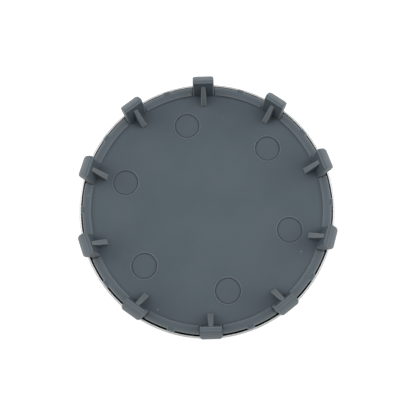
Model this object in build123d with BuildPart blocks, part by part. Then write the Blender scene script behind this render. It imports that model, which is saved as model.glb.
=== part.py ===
from build123d import *
import os

os.makedirs("parts", exist_ok=True)

# Wheel centre cap lying on its front face, in millimetres.
# +Z is the cap's axis, from the front face at Z = 0 towards the wheel.
# +X passes through the middle of one clip and of one ejector mark.

# Front cover: a shallow round cup pressed from sheet metal
cover_diameter = 60.0
cover_sheet = 0.5
cover_depth = 2.0  # front face to the rim's free edge
bend_round = 1.2  # outside radius where the face turns up into the rim
bend_break = 0.4  # straight break of the corner inside it
rim_edge_break = 0.12  # chamfer on both sides of the rim's free edge

# Clip body: a moulded floor with a low raised land round it, standing out of the cover
rim_gap = 0.4  # open gap between the land and the cover's rim
seat_clearance = 0.2  # the body keeps this clear of the cover's bend
floor_thickness = 2.2
land_width = 2.25
land_height = 0.4
land_lean = 0.25  # the land's inner wall leans outwards by this much
land_shoulder_break = 0.3  # chamfer on the land's outside

# Lugs that centre the land in the cover's rim, midway between the clips
lug_width = 1.8
lug_clearance = 0.03
lug_edge_round = 0.2

# Ejector marks: shallow round sinks, each inside a thin raised witness line
mark_count = 6
mark_inset = 6.9  # from the land's foot to the middle of a mark
mark_diameter = 5.9
mark_depth = 0.15
witness_width = 0.3
witness_height = 0.1

# Snap clips: springy legs with a hook that grips inside the wheel's bore
clip_count = 10
clip_width = 5.15  # at its root
clip_height = 9.7  # above the floor
clip_flat = 0.8  # level top between the inner face and the lead-in slope
leg_offset = 0.05  # the leg's inner face starts this far outside the land's foot
leg_lean = 0.25  # and leans inwards by this much up to its top
side_lean = 0.2  # each side leans in by this much
leg_setback = 0.6  # the leg's outer face lies this far inside the land's
hook_reach = 0.4  # the hook's nose stands this far outside the land
lead_in_drop = 3.1  # height of the slope above the nose
nose_band = 0.9
return_drop = 1.2  # height of the slope under the nose
nose_round = 0.4
clip_edge_round = 0.25
hook_corner_round = 0.6
leg_corner_round = 0.45
notch_gap = 0.15  # slot between a leg's side and the land
notch_overrun = 1.0  # the notch is cut past both walls of the land
slot_length = 1.7  # the slots beside a leg, inwards from the land's outside
slot_depth = 0.8  # and below the floor's top

# Gusset ribs that stiffen the legs from inside
rib_thickness = 1.45  # at its root in the floor
rib_draft = 1.8  # degrees on each side
rib_length = 2.55
rib_drop = 2.7  # from the clip's top down to the gusset's
rib_toe_height = 0.55

cover_radius = cover_diameter / 2
body_radius = cover_radius - cover_sheet - rim_gap
land_foot_radius = body_radius - land_width
leg_inner_radius = land_foot_radius + leg_offset
leg_top_radius = leg_inner_radius - leg_lean
leg_outer_radius = body_radius - leg_setback
hook_radius = body_radius + hook_reach

floor_top = cover_sheet + floor_thickness
land_top = floor_top + land_height
clip_top = floor_top + clip_height
nose_upper = clip_top - lead_in_drop
nose_lower = nose_upper - nose_band
root = floor_top - floor_thickness / 2  # legs and ribs reach down to the middle of the floor

with BuildPart() as front_cover:
    with BuildSketch(Plane.XZ) as cup_section:
        with BuildLine():
            Polyline(
                (0, 0),
                (cover_radius, 0),
                (cover_radius, cover_depth),
                (cover_radius - cover_sheet, cover_depth),
                (cover_radius - cover_sheet, cover_sheet),
                (0, cover_sheet),
                close=True,
            )
        make_face()
        fillet(cup_section.vertices().group_by(Axis.Y)[0].sort_by(Axis.X)[-1], bend_round)
        chamfer(cup_section.vertices().group_by(Axis.Y)[-1], rim_edge_break)
        bend_corner = cup_section.vertices().sort_by_distance((cover_radius - cover_sheet, cover_sheet))[0]
        chamfer(bend_corner, bend_break)
    revolve(axis=Axis.Z)

with BuildPart() as lug:
    with BuildSketch(Plane.XZ) as lug_section:
        with BuildLine():
            lug_base = cover_sheet + bend_break + seat_clearance
            lug_end = body_radius + rim_gap - lug_clearance
            Polyline(
                (leg_outer_radius, lug_base),
                (lug_end, lug_base),
                (lug_end, land_top),
                (leg_outer_radius, land_top),
                close=True,
            )
        make_face()
        fillet(lug_section.vertices().group_by(Axis.X)[-1].sort_by(Axis.Y)[-1], lug_edge_round)
    extrude(amount=lug_width / 2, both=True)

with BuildPart() as clip:
    # Leg and hook: a radial section, trimmed to a plan outline with round corners and to leaning sides
    with BuildSketch(Plane.XZ) as hook_section:
        with BuildLine():
            Polyline(
                (leg_inner_radius, root),
                (leg_inner_radius, floor_top),
                (leg_top_radius, clip_top),
                (leg_top_radius + clip_flat, clip_top),
                (hook_radius, nose_upper),
                (hook_radius, nose_lower),
                (leg_outer_radius, nose_lower - return_drop),
                (leg_outer_radius, root),
                close=True,
            )
        make_face()
        fillet(hook_section.vertices().group_by(Axis.Y)[-1], clip_edge_round)
        fillet(hook_section.vertices().group_by(Axis.X)[-1], nose_round)
    extrude(amount=clip_width / 2, both=True)
    with BuildSketch(Plane.XY.offset(root)) as clip_outline:
        with Locations(((leg_top_radius + hook_radius) / 2, 0)):
            Rectangle(hook_radius - leg_top_radius, clip_width)
        fillet(clip_outline.vertices().group_by(Axis.X)[-1], hook_corner_round)
        fillet(clip_outline.vertices().group_by(Axis.X)[0], leg_corner_round)
    extrude(amount=clip_top - root, mode=Mode.INTERSECT)
    with BuildSketch(Plane.YZ):
        with BuildLine():
            Polyline(
                (-clip_width / 2, root),
                (clip_width / 2, root),
                (clip_width / 2 - side_lean, clip_top),
                (side_lean - clip_width / 2, clip_top),
                close=True,
            )
        make_face()
    extrude(amount=cover_radius, mode=Mode.INTERSECT)

with BuildPart() as rib:
    # Gusset: a drafted wall, trimmed to its sloping top
    with BuildSketch(Plane.XY.offset(root)):
        with Locations((land_foot_radius, 0)):
            Rectangle(2 * rib_length, rib_thickness)
    extrude(amount=clip_top - root, taper=rib_draft)
    with BuildSketch(Plane.XZ):
        with BuildLine():
            Polyline(
                (land_foot_radius - rib_length, root),
                (land_foot_radius - rib_length, floor_top + rib_toe_height),
                (leg_top_radius, clip_top - rib_drop),
                (leg_top_radius + clip_flat, clip_top - rib_drop),
                (leg_top_radius + clip_flat, root),
                close=True,
            )
        make_face()
    extrude(amount=rib_thickness, both=True, mode=Mode.INTERSECT)

with BuildPart() as clip_body:
    # Floor and land, turned from one section
    with BuildSketch(Plane.XZ) as body_section:
        with BuildLine():
            Polyline(
                (0, cover_sheet),
                (body_radius, cover_sheet),
                (body_radius, land_top),
                (land_foot_radius + land_lean, land_top),
                (land_foot_radius, floor_top),
                (0, floor_top),
                close=True,
            )
        make_face()
        chamfer(body_section.vertices().group_by(Axis.Y)[-1].sort_by(Axis.X)[-1], land_shoulder_break)
        body_foot = body_section.vertices().group_by(Axis.Y)[0].sort_by(Axis.X)[-1]
        chamfer(body_foot, bend_break + seat_clearance)
    revolve(axis=Axis.Z)
    with PolarLocations(0, clip_count, start_angle=180 / clip_count):
        add(lug.part)

    # Ejector marks in the floor
    with BuildSketch(Plane.XY.offset(floor_top)):
        with PolarLocations(land_foot_radius - mark_inset, mark_count):
            Circle(mark_diameter / 2 + witness_width)
    extrude(amount=witness_height)
    with BuildSketch(Plane.XY.offset(floor_top - mark_depth)):
        with PolarLocations(land_foot_radius - mark_inset, mark_count):
            Circle(mark_diameter / 2)
    extrude(amount=mark_depth + witness_height, mode=Mode.SUBTRACT)

    # Notches through the land, with a clip and its gusset standing in each
    with BuildSketch(Plane.XY.offset(floor_top)):
        with PolarLocations((land_foot_radius + body_radius) / 2, clip_count):
            Rectangle(land_width + 2 * notch_overrun, clip_width + 2 * notch_gap)
    extrude(amount=land_height, mode=Mode.SUBTRACT)
    with BuildSketch(Plane.XY.offset(floor_top - slot_depth)):
        with PolarLocations(body_radius, clip_count):
            Rectangle(2 * slot_length, clip_width + 2 * notch_gap)
    extrude(amount=slot_depth, mode=Mode.SUBTRACT)
    with PolarLocations(0, clip_count):
        add(clip.part)
        add(rib.part)

front_cover.part.label = "front_cover"
export_step(front_cover.part, "parts/front_cover.step")

clip_body.part.label = "clip_body"
export_step(clip_body.part, "parts/clip_body.step")
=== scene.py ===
import math

import bmesh
import bpy
from mathutils import Matrix, Vector


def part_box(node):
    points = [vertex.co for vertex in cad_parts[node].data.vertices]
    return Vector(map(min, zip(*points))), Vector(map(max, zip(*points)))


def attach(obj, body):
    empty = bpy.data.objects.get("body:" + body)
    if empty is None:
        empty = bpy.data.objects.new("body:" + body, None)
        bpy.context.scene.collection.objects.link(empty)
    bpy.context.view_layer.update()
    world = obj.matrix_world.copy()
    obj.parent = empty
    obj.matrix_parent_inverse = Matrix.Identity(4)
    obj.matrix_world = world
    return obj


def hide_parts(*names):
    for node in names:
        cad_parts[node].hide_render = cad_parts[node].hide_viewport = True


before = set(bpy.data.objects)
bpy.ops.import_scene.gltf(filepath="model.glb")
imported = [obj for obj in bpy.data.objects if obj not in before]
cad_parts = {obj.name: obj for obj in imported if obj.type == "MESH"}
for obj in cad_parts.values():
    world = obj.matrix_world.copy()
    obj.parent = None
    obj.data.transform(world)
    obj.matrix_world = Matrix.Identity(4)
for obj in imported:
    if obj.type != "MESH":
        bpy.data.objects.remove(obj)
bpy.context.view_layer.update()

# Sizes in millimetres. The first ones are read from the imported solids.
MM = 0.001
cover_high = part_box("front_cover")[1] / MM
body_low, body_high = (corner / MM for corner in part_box("clip_body"))

COVER_RADIUS = cover_high.x
RIM_TOP = cover_high.z
SHEET = body_low.z
HOOK_RADIUS = body_high.x
CLIP_TOP = body_high.z

# Cover
BEND_INSIDE = 0.7
RIM_EDGE_ROUND = 0.15

# The moulding's turned base
RIM_GAP = 0.4
BODY_RADIUS = COVER_RADIUS - SHEET - RIM_GAP
BODY_FOOT_BREAK = 0.9
FLOOR_THICKNESS = 2.2
FLOOR_TOP = SHEET + FLOOR_THICKNESS
LAND_HEIGHT = 0.4
LAND_TOP = FLOOR_TOP + LAND_HEIGHT
LAND_WIDTH = 2.25
LAND_FOOT = BODY_RADIUS - LAND_WIDTH
LAND_LEAN = 0.25
LAND_EDGE_ROUND = 0.12
LAND_EDGE_STRIP = 0.45  # strip along the land's inner edge that gets a stronger painted highlight
LAND_SHOULDER = 0.3
LAND_SLOPE_WIDTH = 0.75  # an outer strip of the land's top slopes gently down
LAND_SLOPE_FALL = 0.07
FLOOR_EDGE = LAND_FOOT - 0.4  # the turned part of the floor ends this far in
SINK = 0.3  # raised shapes reach this far down into the base
SKIN = 0.01  # shapes that would share a face stand this far apart

# Clips, ribs, lugs and notches, ten of each
CLIPS = 10
CLIP_WIDTH = 5.15  # at the root
SIDE_LEAN = 0.2  # each side leans in by this much up to the top
CLIP_FLAT = 0.8
LEG_OFFSET = 0.05
LEG_INSIDE = LAND_FOOT + LEG_OFFSET
LEG_LEAN = 0.25
LEG_TOP_INSIDE = LEG_INSIDE - LEG_LEAN
LEG_SETBACK = 0.6
LEG_OUTSIDE = BODY_RADIUS - LEG_SETBACK
LEAD_IN_DROP = 3.1
NOSE_UPPER = CLIP_TOP - LEAD_IN_DROP
NOSE_BAND = 0.9
NOSE_LOWER = NOSE_UPPER - NOSE_BAND
RETURN_DROP = 1.2
RETURN_FOOT = NOSE_LOWER - RETURN_DROP
NOSE_ROUND = 0.5
CLIP_TOP_ROUND = 0.25
HOOK_CORNER = 0.65
LEG_CORNER = 0.45
NOTCH_GAP = 0.15
NOTCH_HALF = CLIP_WIDTH / 2 + NOTCH_GAP
SLOT_INSET = 0.55
SLOT_INSIDE = LAND_FOOT + SLOT_INSET
SLOT_DEPTH = 0.8
SLOT_BASE = FLOOR_TOP - SLOT_DEPTH
RIB_ROOT = 1.4
RIB_DRAFT = math.radians(1.8)
RIB_LENGTH = 2.55
RIB_TOE = LAND_FOOT - RIB_LENGTH
RIB_TOE_HEIGHT = 0.55
RIB_TOE_TOP = FLOOR_TOP + RIB_TOE_HEIGHT
RIB_DROP = 2.7
RIB_TOP = CLIP_TOP - RIB_DROP
LUG_HALF = 0.85
LUG_FLARE = 0.25
LUG_CLEARANCE = 0.03
LUG_END = BODY_RADIUS + RIM_GAP - LUG_CLEARANCE
LUG_BASE = SHEET + BODY_FOOT_BREAK
LUG_EDGE_BREAK = 0.22
RIB_EDGE_BREAK = 0.2
EDGE_BREAK = 0.18
EDGE_MARGIN = 0.1  # tells a shape's open edges from those buried in its neighbour

# Ejector marks
MARKS = 6
MARK_INSET = 6.9
MARK_PLACE = LAND_FOOT - MARK_INSET
MARK_RADIUS = 2.95
MARK_DEPTH = 0.15
MARK_FLOOR = FLOOR_TOP - MARK_DEPTH
WITNESS_WIDTH = 0.3
WITNESS_HEIGHT = 0.1
WITNESS_TOP = FLOOR_TOP + WITNESS_HEIGHT
WITNESS_LEAN = 0.1
WITNESS_INNER_ROUND = 0.05
WITNESS_OUTER_ROUND = 0.08

# Fine groove round a mark's foot: its edges and bottom, in from the mark's wall
GROOVE_EDGE = 0.2
GROOVE_INNER = 0.16
GROOVE_OUTER = 0.04
GROOVE_DEPTH = 0.12

# How strongly painted highlights make the raised places and edges paler, from 0 to 1
WITNESS_HIGHLIGHT = 0.35
LAND_HIGHLIGHT = 0.1
LAND_EDGE_HIGHLIGHT = 0.25
SLOPE_HIGHLIGHT = 0.25
SHOULDER_HIGHLIGHT = 1.0
RIDGE_HIGHLIGHT = 0.6
CLIP_TOP_HIGHLIGHT = 0.1
RIB_HIGHLIGHT = 0.75
NOSE_HIGHLIGHT = 0.7
LEAD_IN_HIGHLIGHT = 0.9
LEAD_IN_FADE = 1.5  # the lead-in's painted highlight fades towards its top
EDGE_HIGHLIGHT = 1.0

# Where those places are: the part of a face's normal that points up, out or sideways
LAND_LEVEL = 0.9999
SLOPE_LEVEL = 0.99
SHOULDER_LEVEL = 0.7
STEEP_LEVEL = 0.1
CLIP_TOP_LEVEL = 0.98
RIB_TOP_LEVEL = 0.2
HOOK_OUTWARD = 0.3
LEAD_IN_LEVEL = 0.3
LEG_OUTWARD = 0.5
LEG_SIDEWAYS = 0.2

# Fineness of the meshes
RING_STEPS = 240
LEAD_IN_STRIPS = 8
MARK_STEPS = 72
ARC_STEPS = 5
PLAN_ARC_STEPS = 6
EDGE_STEPS = 3
SMOOTH_LIMIT = math.radians(40)
MERGE_DISTANCE = 0.0005
CUT_DISTANCE = 0.0001

# Colours of the plastic and the sheet
PLASTIC_DARK = (0.081, 0.103, 0.121)
PLASTIC_PALE = (0.09, 0.113, 0.131)
PLASTIC_FLECK = (0.103, 0.123, 0.139)
PLASTIC_SPECK = (0.3, 0.31, 0.3)
# paler grey used for painted highlights
PLASTIC_HIGHLIGHT_PAINT = (0.185, 0.205, 0.215)
SHEET_DARK = (0.39, 0.4, 0.41)
SHEET_PALE = (0.44, 0.44, 0.44)
PAPER_COLOUR = (0.7, 0.7, 0.7, 1)
WHITE = (1, 1, 1, 1)

# Light tent: how bright it is from the ground (height 0) to overhead (height 1), times one strength
TENT_LEVELS = [(0.0, 0.1), (0.4, 0.2), (0.6, 0.5), (0.75, 0.7), (0.9, 0.7), (0.97, 0.4)]
TENT_STRENGTH = 1.14
FRONT_ROOF = 0.85  # the roof is dimmer in front of the cap
BACK_ROOF = 1.15
ROOF_FADE = (-0.6, 0.6)  # from front to back, where that changes
END_WALLS = 0.0  # low walls in front and behind
SIDE_WALLS = 1.2  # low walls left and right
WALL_TURN = (0.1, 0.6)  # where the end walls turn into the side walls
WALL_FADE = (0.3, 0.7)  # heights over which the walls fade out
PAPER_GLOW = 0.5
FLOOR_HALF = 3.0  # metres

# Lamps, in metres and watts, seen from the camera's side
SIDE_LAMP_SIZE = 0.5
SIDE_LAMP_POWER = 0.85
SIDE_LAMP_PLACE = (0.45, 0.08, 0.36)
STRIP_LENGTH = 0.45
STRIP_WIDTH = 0.1
STRIP_POWER = 0.3
STRIP_PLACE = (0, 0.06, 0.5)

# Camera: turned about the cap's axis, a little in front of it, tilted forward onto it
VIEW_TURN = math.radians(16.163)
CAMERA_TILT = math.radians(10.948)
CAMERA_PLACE = Vector((0.233, -17.949, FLOOR_TOP + 134.402)) * MM
FOCAL_PIXELS = 579.166
PICTURE_PIXELS = 416
SHIFT_PIXELS = 35.7  # the picture's middle lies this far below the lens axis
SENSOR_WIDTH = 36.0
LENS_NEAR = 0.005  # metres


def new_shape():
    """An empty mesh whose faces can carry a painted highlight."""
    bm = bmesh.new()
    bm.faces.layers.float.new("painted_highlight")
    return bm


def paint_highlight(bm, faces, amount):
    """Marks faces with a painted highlight that makes them paler, from 0 to 1."""
    layer = bm.faces.layers.float["painted_highlight"]
    for face in faces:
        face[layer] = amount


def everything(bm):
    """All that a mesh holds, as the operators take it."""
    return bm.verts[:] + bm.edges[:] + bm.faces[:]


def only(items, kind):
    """Those of an operator's results that are of one kind."""
    return [item for item in items if isinstance(item, kind)]


def top(edge):
    """The height of an edge's upper end."""
    return max(vert.co.z for vert in edge.verts)


def section(bm, points, closed=False):
    """A radial section in the XZ plane from its few corners, as a wire or as a face."""
    corners = [bm.verts.new((radius, 0, height)) for radius, height in points]
    if closed:
        bm.faces.new(corners)
    else:
        for one, other in zip(corners, corners[1:]):
            bm.edges.new((one, other))
    return corners


def round_corner(bm, corner, radius):
    """Rounds one corner of a flat section to a radius."""
    one, other = (edge.other_vert(corner).co - corner.co for edge in corner.link_edges)
    reach = radius / math.tan(one.angle(other) / 2)
    bmesh.ops.bevel(
        bm, geom=[corner], offset=reach, offset_type="OFFSET", segments=ARC_STEPS, profile=0.5,
        affect="VERTICES", material=-1,
    )


def spin_full(bm, steps, centre=(0, 0, 0)):
    """Turns the whole wire through a full circle and closes its poles."""
    bmesh.ops.spin(
        bm, geom=bm.verts[:] + bm.edges[:], cent=centre, axis=(0, 0, 1), angle=math.tau, steps=steps,
        use_merge=True,
    )
    bmesh.ops.remove_doubles(bm, verts=bm.verts[:], dist=MERGE_DISTANCE)


def spin_copies(bm, count):
    """Repeats the whole shape evenly round the cap's axis."""
    bmesh.ops.spin(
        bm, geom=everything(bm), cent=(0, 0, 0), axis=(0, 0, 1),
        angle=math.tau * (count - 1) / count, steps=count - 1, use_duplicate=True,
    )


def break_edges(bm, width, sharp, keep):
    """Rounds over the edges that keep picks and that turn by more than sharp degrees, and paints a
    highlight on them.
    """
    limit = math.radians(sharp)
    edges = [
        edge for edge in bm.edges
        if edge.is_manifold and edge.calc_face_angle() > limit and keep(edge)
    ]
    broken = bmesh.ops.bevel(
        bm, geom=edges, offset=width, offset_type="OFFSET", segments=EDGE_STEPS, profile=0.5,
        affect="EDGES", material=-1, clamp_overlap=True,
    )
    # painted highlight on the rounded-over edges
    paint_highlight(bm, broken["faces"], EDGE_HIGHLIGHT)


def join(body, shape):
    """Adds a finished shape to the body's mesh."""
    carrier = bpy.data.meshes.new("carrier")
    bmesh.ops.recalc_face_normals(shape, faces=shape.faces[:])
    shape.to_mesh(carrier)
    shape.free()
    body.from_mesh(carrier)
    bpy.data.meshes.remove(carrier)


def finish_piece(name, bm, material, node):
    """Makes the mesh an object in metres that stands for its CAD node."""
    bmesh.ops.scale(bm, vec=(MM, MM, MM), verts=bm.verts[:])
    for face in bm.faces:
        face.smooth = True
    mesh = bpy.data.meshes.new(name)
    bm.to_mesh(mesh)
    bm.free()
    mesh.set_sharp_from_angle(angle=SMOOTH_LIMIT)
    mesh.materials.append(material)
    piece = bpy.data.objects.new(name, mesh)
    bpy.context.scene.collection.objects.link(piece)
    normals = piece.modifiers.new("even_faces", "WEIGHTED_NORMAL")
    normals.keep_sharp = True
    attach(piece, "root")
    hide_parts(node)


def pressed_cover():
    """The thin cup pressed from sheet, with a round bend and a softened rim edge."""
    bm = bmesh.new()
    inside = COVER_RADIUS - SHEET
    corners = section(bm, [
        (0, 0),
        (COVER_RADIUS, 0),
        (COVER_RADIUS, RIM_TOP),
        (inside, RIM_TOP),
        (inside, SHEET),
        (0, SHEET),
    ])
    round_corner(bm, corners[1], BEND_INSIDE + SHEET)
    round_corner(bm, corners[2], RIM_EDGE_ROUND)
    round_corner(bm, corners[3], RIM_EDGE_ROUND)
    round_corner(bm, corners[4], BEND_INSIDE)
    spin_full(bm, RING_STEPS)
    bmesh.ops.recalc_face_normals(bm, faces=bm.faces[:])
    return bm


def ejector_marks():
    """Six shallow round sinks, each inside its thin raised witness line."""
    bm = new_shape()
    corners = section(bm, [
        (MARK_PLACE, MARK_FLOOR),
        (MARK_PLACE + MARK_RADIUS - GROOVE_EDGE, MARK_FLOOR),
        (MARK_PLACE + MARK_RADIUS - GROOVE_INNER, MARK_FLOOR - GROOVE_DEPTH),
        (MARK_PLACE + MARK_RADIUS - GROOVE_OUTER, MARK_FLOOR - GROOVE_DEPTH),
        (MARK_PLACE + MARK_RADIUS, WITNESS_TOP),
        (MARK_PLACE + MARK_RADIUS + WITNESS_WIDTH - WITNESS_LEAN, WITNESS_TOP),
        (MARK_PLACE + MARK_RADIUS + WITNESS_WIDTH, FLOOR_TOP),
    ])
    round_corner(bm, corners[4], WITNESS_INNER_ROUND)
    round_corner(bm, corners[5], WITNESS_OUTER_ROUND)
    spin_full(bm, MARK_STEPS, centre=(MARK_PLACE, 0, 0))
    # painted highlight on the raised witness ring
    paint_highlight(bm, [face for face in bm.faces if face.calc_center_median().z > FLOOR_TOP], WITNESS_HIGHLIGHT)
    spin_copies(bm, MARKS)
    return bm


def base_disc():
    """The turned floor of the moulding, filled in level between its ejector marks."""
    bm = new_shape()
    section(bm, [
        (0, SHEET),
        (BODY_RADIUS - BODY_FOOT_BREAK, SHEET),
        (BODY_RADIUS, SHEET + BODY_FOOT_BREAK),
        (BODY_RADIUS, SLOT_BASE),
        (SLOT_INSIDE, SLOT_BASE),
        (SLOT_INSIDE, FLOOR_TOP),
        (FLOOR_EDGE, FLOOR_TOP),
    ])
    spin_full(bm, RING_STEPS)
    join(bm, ejector_marks())
    bmesh.ops.triangle_fill(
        bm, edges=[edge for edge in bm.edges if edge.is_boundary], use_beauty=True, normal=(0, 0, 1),
    )
    return bm


def land_bank():
    """One stretch of the raised land between two clips, cut square to their notches, repeated round."""
    bm = new_shape()
    foot = SLOT_BASE - SINK
    outside = BODY_RADIUS - SKIN
    edge_highlight_end = LAND_FOOT + LAND_LEAN + LAND_EDGE_STRIP
    buried = SINK * LAND_LEAN / (LAND_TOP - FLOOR_TOP)
    corners = section(bm, [
        (LAND_FOOT - buried, foot),
        (outside, foot),
        (outside, LAND_TOP - LAND_SLOPE_FALL),
        (BODY_RADIUS - LAND_SLOPE_WIDTH, LAND_TOP),
        (edge_highlight_end, LAND_TOP),
        (LAND_FOOT + LAND_LEAN, LAND_TOP),
        (LAND_FOOT - buried, FLOOR_TOP - SINK),
    ], closed=True)
    round_corner(bm, corners[2], LAND_SHOULDER)
    round_corner(bm, corners[5], LAND_EDGE_ROUND)
    pitch = math.tau / CLIPS
    bmesh.ops.spin(
        bm, geom=everything(bm), cent=(0, 0, 0), axis=(0, 0, 1), angle=pitch, steps=RING_STEPS // CLIPS,
    )
    across = Vector((0, 1, 0))
    next_clip = Matrix.Rotation(pitch, 3, "Z")
    near_notch = (across * NOTCH_HALF, -across)
    far_notch = (next_clip @ (-across * NOTCH_HALF), next_clip @ across)
    for place, outward in (near_notch, far_notch):
        cut = bmesh.ops.bisect_plane(
            bm, geom=everything(bm), dist=CUT_DISTANCE, plane_co=place, plane_no=outward, clear_outer=True,
        )
        bmesh.ops.edgeloop_fill(bm, edges=only(cut["geom_cut"], bmesh.types.BMEdge))
    bmesh.ops.recalc_face_normals(bm, faces=bm.faces[:])
    # painted highlights: the land's top, its inner edge strip, the outer slope and the shoulder are made
    # paler
    for face in bm.faces:
        middle = face.calc_center_median()
        faces_out = face.normal.dot(middle.normalized()) > 0
        if face.normal.z > LAND_LEVEL:
            paint_highlight(bm, [face], LAND_HIGHLIGHT if middle.xy.length > edge_highlight_end else LAND_EDGE_HIGHLIGHT)
        elif face.normal.z > SLOPE_LEVEL:
            paint_highlight(bm, [face], SLOPE_HIGHLIGHT)
        elif face.normal.z > SHOULDER_LEVEL or (face.normal.z > STEEP_LEVEL and faces_out):
            paint_highlight(bm, [face], SHOULDER_HIGHLIGHT)
    break_edges(bm, EDGE_BREAK, sharp=50, keep=lambda edge: top(edge) > FLOOR_TOP)
    spin_copies(bm, CLIPS)
    return bm


def plan_stations():
    """Places across a clip where its section is repeated, close together round the plan's corners."""
    half = CLIP_WIDTH / 2
    arc = [math.radians(90 - 90 / PLAN_ARC_STEPS * step) for step in range(PLAN_ARC_STEPS + 1)]
    reaches = {
        round(half - corner * (1 - math.sin(turn)), 4)
        for corner in (HOOK_CORNER, LEG_CORNER)
        for turn in arc
    }
    one_side = sorted(reaches)
    return [-reach for reach in reversed(one_side)] + one_side


def shape_clip(bm):
    """Trims a clip's straight block to its plan and leans its sides in."""
    half = CLIP_WIDTH / 2
    for vert in bm.verts:
        past_hook = max(0.0, abs(vert.co.y) - (half - HOOK_CORNER))
        past_leg = max(0.0, abs(vert.co.y) - (half - LEG_CORNER))
        outer = math.sqrt(HOOK_RADIUS ** 2 - vert.co.y ** 2) - HOOK_CORNER
        outer += math.sqrt(max(0.0, HOOK_CORNER ** 2 - past_hook ** 2))
        inner = LEG_CORNER - math.sqrt(max(0.0, LEG_CORNER ** 2 - past_leg ** 2))
        above = max(0.0, vert.co.z - FLOOR_TOP)
        lean = (LEG_INSIDE - LEG_TOP_INSIDE) * above / (CLIP_TOP - FLOOR_TOP)
        vert.co.x = min(max(vert.co.x, LEG_INSIDE - lean + inner), outer)
        vert.co.y *= 1 - SIDE_LEAN / half * above / (CLIP_TOP - FLOOR_TOP)


def paint_clip_highlights(bm):
    """Paints highlights on a clip: its top, its lead-in towards the nose, its ridges, sides and nose."""
    ridges = []
    sides = []
    noses = []
    for face in bm.faces:
        height = face.calc_center_median().z
        normal = face.normal
        if normal.z > CLIP_TOP_LEVEL:
            paint_highlight(bm, [face], CLIP_TOP_HIGHLIGHT)
        if height > CLIP_TOP - CLIP_TOP_ROUND and STEEP_LEVEL < normal.z < CLIP_TOP_LEVEL:
            ridges.append(face)
        if height > FLOOR_TOP and normal.x < LEG_OUTWARD and abs(normal.y) > LEG_SIDEWAYS:
            sides.append(face)
        if NOSE_LOWER - NOSE_ROUND < height < NOSE_UPPER + NOSE_ROUND and normal.x > HOOK_OUTWARD:
            noses.append(face)
        if normal.x > HOOK_OUTWARD and normal.z > LEAD_IN_LEVEL:
            down = (CLIP_TOP - height) / (CLIP_TOP - NOSE_UPPER)
            paint_highlight(bm, [face], LEAD_IN_HIGHLIGHT * min(1.0, down) ** LEAD_IN_FADE)
    paint_highlight(bm, ridges + sides, RIDGE_HIGHLIGHT)
    paint_highlight(bm, noses, NOSE_HIGHLIGHT)


def snap_clips():
    """The springy legs with their hooks: a radial section drawn across, its plan corners rounded off."""
    bm = new_shape()
    foot = SLOT_BASE - SINK
    corners = section(bm, [
        (LEG_INSIDE, foot),
        (LEG_INSIDE, FLOOR_TOP),
        (LEG_TOP_INSIDE, CLIP_TOP),
        (LEG_TOP_INSIDE + CLIP_FLAT, CLIP_TOP),
        (HOOK_RADIUS, NOSE_UPPER),
        (HOOK_RADIUS, NOSE_LOWER),
        (LEG_OUTSIDE, RETURN_FOOT),
        (LEG_OUTSIDE, foot),
    ], closed=True)
    lead_in = corners[3].co + corners[4].co
    for corner in corners[2:4]:
        round_corner(bm, corner, CLIP_TOP_ROUND)
    for corner in corners[4:7]:
        round_corner(bm, corner, NOSE_ROUND)
    slope = min(bm.edges, key=lambda edge: (edge.verts[0].co + edge.verts[1].co - lead_in).length)
    bmesh.ops.subdivide_edges(bm, edges=[slope], cuts=LEAD_IN_STRIPS - 1)
    stations = plan_stations()
    bmesh.ops.translate(bm, vec=(0, stations[0], 0), verts=bm.verts[:])
    front = next(iter(bm.faces))
    for here, there in zip(stations, stations[1:]):
        drawn = bmesh.ops.extrude_face_region(bm, geom=[front, *front.edges])["geom"]
        front = only(drawn, bmesh.types.BMFace)[0]
        bmesh.ops.translate(bm, vec=(0, there - here, 0), verts=only(drawn, bmesh.types.BMVert))
    shape_clip(bm)
    bmesh.ops.recalc_face_normals(bm, faces=bm.faces[:])
    # painted highlights on the clip's top, lead-in, ridges, sides and nose
    paint_clip_highlights(bm)
    break_edges(bm, EDGE_BREAK, sharp=40, keep=lambda edge: top(edge) > FLOOR_TOP)
    spin_copies(bm, CLIPS)
    return bm


def gusset_ribs():
    """The drafted gussets that stiffen the legs from inside."""
    bm = new_shape()
    foot = FLOOR_TOP - SINK
    section(bm, [
        (RIB_TOE, foot),
        (RIB_TOE, RIB_TOE_TOP),
        (LEG_TOP_INSIDE, RIB_TOP),
        (LEG_TOP_INSIDE + CLIP_FLAT, RIB_TOP),
        (LEG_TOP_INSIDE + CLIP_FLAT, foot),
    ], closed=True)
    drawn = bmesh.ops.extrude_face_region(bm, geom=bm.faces[:])["geom"]
    far = only(drawn, bmesh.types.BMVert)
    near = [vert for vert in bm.verts if vert not in far]
    for side, verts in ((-1, near), (1, far)):
        for vert in verts:
            vert.co.y = side * (RIB_ROOT / 2 - (vert.co.z - foot) * math.tan(RIB_DRAFT))
    bmesh.ops.recalc_face_normals(bm, faces=bm.faces[:])
    # painted highlight on the rib tops
    paint_highlight(bm, [face for face in bm.faces if face.normal.z > RIB_TOP_LEVEL], RIB_HIGHLIGHT)

    def open_edge(edge):
        """Whether an edge stands clear of the floor and of the leg."""
        inner = min(vert.co.x for vert in edge.verts)
        return top(edge) > FLOOR_TOP and inner < LAND_FOOT + EDGE_MARGIN

    break_edges(bm, RIB_EDGE_BREAK, sharp=30, keep=open_edge)
    spin_copies(bm, CLIPS)
    return bm


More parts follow.
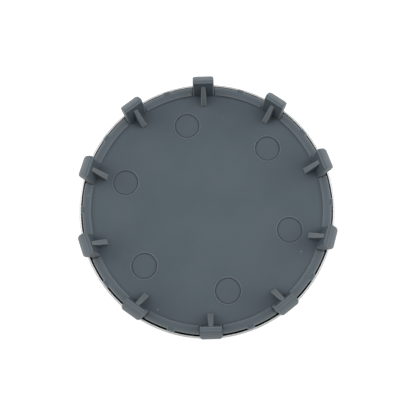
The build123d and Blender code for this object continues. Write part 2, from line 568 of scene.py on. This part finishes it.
def rim_lugs():
    """The small lugs between the land and the cover's rim, wider at their roots."""
    bm = new_shape()
    plan = [(LEG_OUTSIDE, LUG_HALF + LUG_FLARE), (LUG_END, LUG_HALF)]
    corners = [bm.verts.new((x, y, LUG_BASE)) for x, y in plan]
    corners += [bm.verts.new((x, -y, LUG_BASE)) for x, y in reversed(plan)]
    drawn = bmesh.ops.extrude_face_region(bm, geom=[bm.faces.new(corners)])["geom"]
    rise = LAND_TOP - SKIN - LUG_BASE
    bmesh.ops.translate(bm, vec=(0, 0, rise), verts=only(drawn, bmesh.types.BMVert))
    bmesh.ops.recalc_face_normals(bm, faces=bm.faces[:])

    def open_edge(edge):
        """Whether an edge stands clear of the land, near its top."""
        outer = max(vert.co.x for vert in edge.verts)
        return outer > BODY_RADIUS + EDGE_MARGIN and top(edge) > FLOOR_TOP

    break_edges(bm, LUG_EDGE_BREAK, sharp=50, keep=open_edge)
    half_pitch = Matrix.Rotation(math.pi / CLIPS, 3, "Z")
    bmesh.ops.rotate(bm, cent=(0, 0, 0), matrix=half_pitch, verts=bm.verts[:])
    spin_copies(bm, CLIPS)
    return bm


def clip_moulding():
    """The whole grey moulding: base, land, clips, ribs and lugs."""
    body = base_disc()
    bmesh.ops.recalc_face_normals(body, faces=body.faces[:])
    for shape in (land_bank(), snap_clips(), gusset_ribs(), rim_lugs()):
        join(body, shape)
    return body


def new_material(name):
    """A node material, with its tree and its shader."""
    material = bpy.data.materials.new(name)
    material.use_nodes = True
    tree = material.node_tree
    return material, tree, tree.nodes["Principled BSDF"]


def object_place(tree):
    """Where a point lies in its piece's own coordinates."""
    return tree.nodes.new("ShaderNodeTexCoord").outputs["Object"]


def noise(tree, place, grain, detail, roughness=0.5):
    """Noise with lumps about as large as grain, in millimetres."""
    node = tree.nodes.new("ShaderNodeTexNoise")
    node.inputs["Scale"].default_value = 1 / (grain * MM)
    node.inputs["Detail"].default_value = detail
    node.inputs["Roughness"].default_value = roughness
    tree.links.new(place, node.inputs["Vector"])
    return node.outputs["Fac"]


def spread(tree, value, source, target):
    """Stretches a value from one range to another."""
    node = tree.nodes.new("ShaderNodeMapRange")
    for socket, number in zip(("From Min", "From Max", "To Min", "To Max"), (*source, *target)):
        node.inputs[socket].default_value = number
    tree.links.new(value, node.inputs["Value"])
    return node.outputs["Result"]


def blend_colours(tree, factor, first, second):
    """Mixes two colours, each a colour or a socket."""
    node = tree.nodes.new("ShaderNodeMix")
    node.data_type = "RGBA"
    tree.links.new(factor, node.inputs["Factor"])
    for name, colour in (("A", first), ("B", second)):
        socket = next(s for s in node.inputs if s.name == name and s.type == "RGBA")
        if isinstance(colour, tuple):
            socket.default_value = (*colour, 1)
        else:
            tree.links.new(colour, socket)
    return next(s for s in node.outputs if s.type == "RGBA")


def bump(tree, height, depth, strength, under=None):
    """A bump of that depth in millimetres, over another bump if one is given."""
    node = tree.nodes.new("ShaderNodeBump")
    node.inputs["Strength"].default_value = strength
    node.inputs["Distance"].default_value = depth * MM
    tree.links.new(height, node.inputs["Height"])
    if under is not None:
        tree.links.new(under, node.inputs["Normal"])
    return node.outputs["Normal"]


def satin_grey_plastic():
    """Blue-grey moulded plastic: faint flow clouds, a fine satin grain and a few pale specks."""
    material, tree, shader = new_material("satin_grey_plastic")
    place = object_place(tree)
    clouds = spread(tree, noise(tree, place, grain=9.0, detail=4.0), (0.35, 0.65), (0.0, 1.0))
    flecks = noise(tree, place, grain=0.5, detail=3.0, roughness=0.6)
    colour = blend_colours(tree, clouds, PLASTIC_DARK, PLASTIC_PALE)
    colour = blend_colours(tree, spread(tree, flecks, (0.3, 0.7), (0.0, 0.15)), colour, PLASTIC_FLECK)
    specks = spread(tree, noise(tree, place, grain=0.9, detail=0.0), (0.86, 0.9), (0.0, 0.5))
    colour = blend_colours(tree, specks, colour, PLASTIC_SPECK)
    # painted highlight: faces marked on the mesh are mixed towards a paler grey
    painted_highlight = tree.nodes.new("ShaderNodeAttribute")
    painted_highlight.attribute_name = "painted_highlight"
    colour = blend_colours(tree, painted_highlight.outputs["Fac"], colour, PLASTIC_HIGHLIGHT_PAINT)
    tree.links.new(colour, shader.inputs["Base Color"])
    tree.links.new(spread(tree, flecks, (0.3, 0.7), (0.42, 0.52)), shader.inputs["Roughness"])
    shader.inputs["Specular IOR Level"].default_value = 0.08
    grain = bump(tree, noise(tree, place, grain=0.12, detail=2.0), depth=0.01, strength=0.25)
    waves = bump(tree, noise(tree, place, grain=4.0, detail=2.0), depth=0.03, strength=0.25, under=grain)
    tree.links.new(waves, shader.inputs["Normal"])
    return material


def bright_pressed_sheet():
    """Bright satin aluminium sheet, faintly uneven from the press."""
    material, tree, shader = new_material("bright_pressed_sheet")
    place = object_place(tree)
    wear = noise(tree, place, grain=0.25, detail=4.0, roughness=0.6)
    clouds = noise(tree, place, grain=6.0, detail=3.0)
    patches = spread(tree, clouds, (0.3, 0.7), (0.0, 1.0))
    tree.links.new(blend_colours(tree, patches, SHEET_DARK, SHEET_PALE), shader.inputs["Base Color"])
    shader.inputs["Metallic"].default_value = 1.0
    tree.links.new(spread(tree, wear, (0.3, 0.7), (0.2, 0.32)), shader.inputs["Roughness"])
    fine = bump(tree, wear, depth=0.006, strength=0.2)
    waves = bump(tree, clouds, depth=0.03, strength=0.2, under=fine)
    tree.links.new(waves, shader.inputs["Normal"])
    return material


def combine(tree, operation, one, other):
    """Arithmetic on two values, each a number or a socket."""
    node = tree.nodes.new("ShaderNodeMath")
    node.operation = operation
    for socket, value in zip(node.inputs, (one, other)):
        if isinstance(value, (int, float)):
            socket.default_value = value
        else:
            tree.links.new(value, socket)
    return node.outputs[0]


def seen_rays(tree):
    """1 for the rays by which the camera, reflections and clear pieces see a surface, else 0."""
    rays = tree.nodes.new("ShaderNodeLightPath").outputs
    mirrored = combine(tree, "MAXIMUM", rays["Is Glossy Ray"], rays["Is Transmission Ray"])
    return combine(tree, "MAXIMUM", rays["Is Camera Ray"], mirrored)


def floor_paper():
    """Plain white paper: white to the camera and in reflections, but it keeps the cap's soft shadow."""
    material, tree, shader = new_material("floor_paper")
    shader.inputs["Base Color"].default_value = PAPER_COLOUR
    shader.inputs["Roughness"].default_value = 0.9
    shader.inputs["Specular IOR Level"].default_value = 0.1
    shader.inputs["Emission Color"].default_value = WHITE
    glow = combine(tree, "MULTIPLY", seen_rays(tree), PAPER_GLOW)
    tree.links.new(glow, shader.inputs["Emission Strength"])
    return material


def lay_floor():
    """The paper that the cap lies on."""
    bm = bmesh.new()
    bmesh.ops.create_grid(bm, x_segments=1, y_segments=1, size=FLOOR_HALF)
    mesh = bpy.data.meshes.new("paper_floor")
    bm.to_mesh(mesh)
    bm.free()
    mesh.materials.append(floor_paper())
    floor = bpy.data.objects.new("paper_floor", mesh)
    bpy.context.scene.collection.objects.link(floor)


def light_tent():
    """A white tent with bright walls left and right, and an opening overhead for the lens."""
    world = bpy.data.worlds.new("light_tent")
    bpy.context.scene.world = world
    world.use_nodes = True
    tree = world.node_tree
    place = tree.nodes.new("ShaderNodeTexCoord")
    turned = tree.nodes.new("ShaderNodeVectorRotate")
    turned.rotation_type = "Z_AXIS"
    turned.inputs["Angle"].default_value = -VIEW_TURN
    tree.links.new(place.outputs["Generated"], turned.inputs["Vector"])
    parts = tree.nodes.new("ShaderNodeSeparateXYZ")
    tree.links.new(turned.outputs[0], parts.inputs[0])
    across, back, up = parts.outputs
    tent = tree.nodes.new("ShaderNodeValToRGB")
    shades = tent.color_ramp.elements
    while len(shades) < len(TENT_LEVELS):
        shades.new(0.5)
    for shade, (height, level) in zip(shades, TENT_LEVELS):
        shade.position = height
        shade.color = (level, level, level, 1)
    tree.links.new(up, tent.inputs["Fac"])
    sideways = spread(tree, combine(tree, "MULTIPLY", across, across), WALL_TURN, (END_WALLS, SIDE_WALLS))
    low = spread(tree, up, WALL_FADE, (1.0, 0.0))
    walls = combine(tree, "MULTIPLY", low, sideways)
    lengthways = spread(tree, back, ROOF_FADE, (FRONT_ROOF, BACK_ROOF))
    roof = combine(tree, "MULTIPLY", tent.outputs["Color"], lengthways)
    light = combine(tree, "MULTIPLY", combine(tree, "ADD", roof, walls), TENT_STRENGTH)
    seen = seen_rays(tree)
    shaded = combine(tree, "MULTIPLY", light, combine(tree, "SUBTRACT", 1.0, seen))
    sky = tree.nodes["Background"]
    sky.inputs["Color"].default_value = WHITE
    tree.links.new(combine(tree, "ADD", shaded, seen), sky.inputs["Strength"])


def side_lamps():
    """Two soft lamps, left and right of the cap and a little behind it."""
    turn = Matrix.Rotation(VIEW_TURN, 4, "Z")
    aside, behind, height = SIDE_LAMP_PLACE
    for name, side in (("left_lamp", -1), ("right_lamp", 1)):
        lamp = bpy.data.lights.new(name, "AREA")
        lamp.shape = "DISK"
        lamp.size = SIDE_LAMP_SIZE
        lamp.energy = SIDE_LAMP_POWER
        light = bpy.data.objects.new(name, lamp)
        bpy.context.scene.collection.objects.link(light)
        place = turn @ Vector((side * aside, behind, height))
        aim = place.to_track_quat("Z", "Y").to_matrix().to_4x4()
        light.matrix_world = Matrix.Translation(place) @ aim


def strip_lamp():
    """A long soft strip across the cap, high above it and a little behind the lens."""
    lamp = bpy.data.lights.new("strip_lamp", "AREA")
    lamp.shape = "RECTANGLE"
    lamp.size = STRIP_LENGTH
    lamp.size_y = STRIP_WIDTH
    lamp.energy = STRIP_POWER
    light = bpy.data.objects.new("strip_lamp", lamp)
    bpy.context.scene.collection.objects.link(light)
    light.matrix_world = Matrix.Rotation(VIEW_TURN, 4, "Z") @ Matrix.Translation(STRIP_PLACE)


def set_camera():
    """The camera at the photograph's place."""
    lens = bpy.data.cameras.new("camera")
    lens.sensor_width = SENSOR_WIDTH
    lens.lens = lens.sensor_width * FOCAL_PIXELS / PICTURE_PIXELS
    lens.shift_y = -SHIFT_PIXELS / PICTURE_PIXELS
    lens.clip_start = LENS_NEAR
    camera = bpy.data.objects.new("camera", lens)
    bpy.context.scene.collection.objects.link(camera)
    turn = Matrix.Rotation(VIEW_TURN, 4, "Z")
    tilt = Matrix.Rotation(CAMERA_TILT, 4, "X")
    camera.matrix_world = turn @ Matrix.Translation(CAMERA_PLACE) @ tilt
    bpy.context.scene.camera = camera


finish_piece("front_cup", pressed_cover(), bright_pressed_sheet(), "front_cover")
finish_piece("clip_moulding", clip_moulding(), satin_grey_plastic(), "clip_body")
lay_floor()
light_tent()
side_lamps()
strip_lamp()
set_camera()
bpy.context.scene.view_settings.view_transform = "Standard"
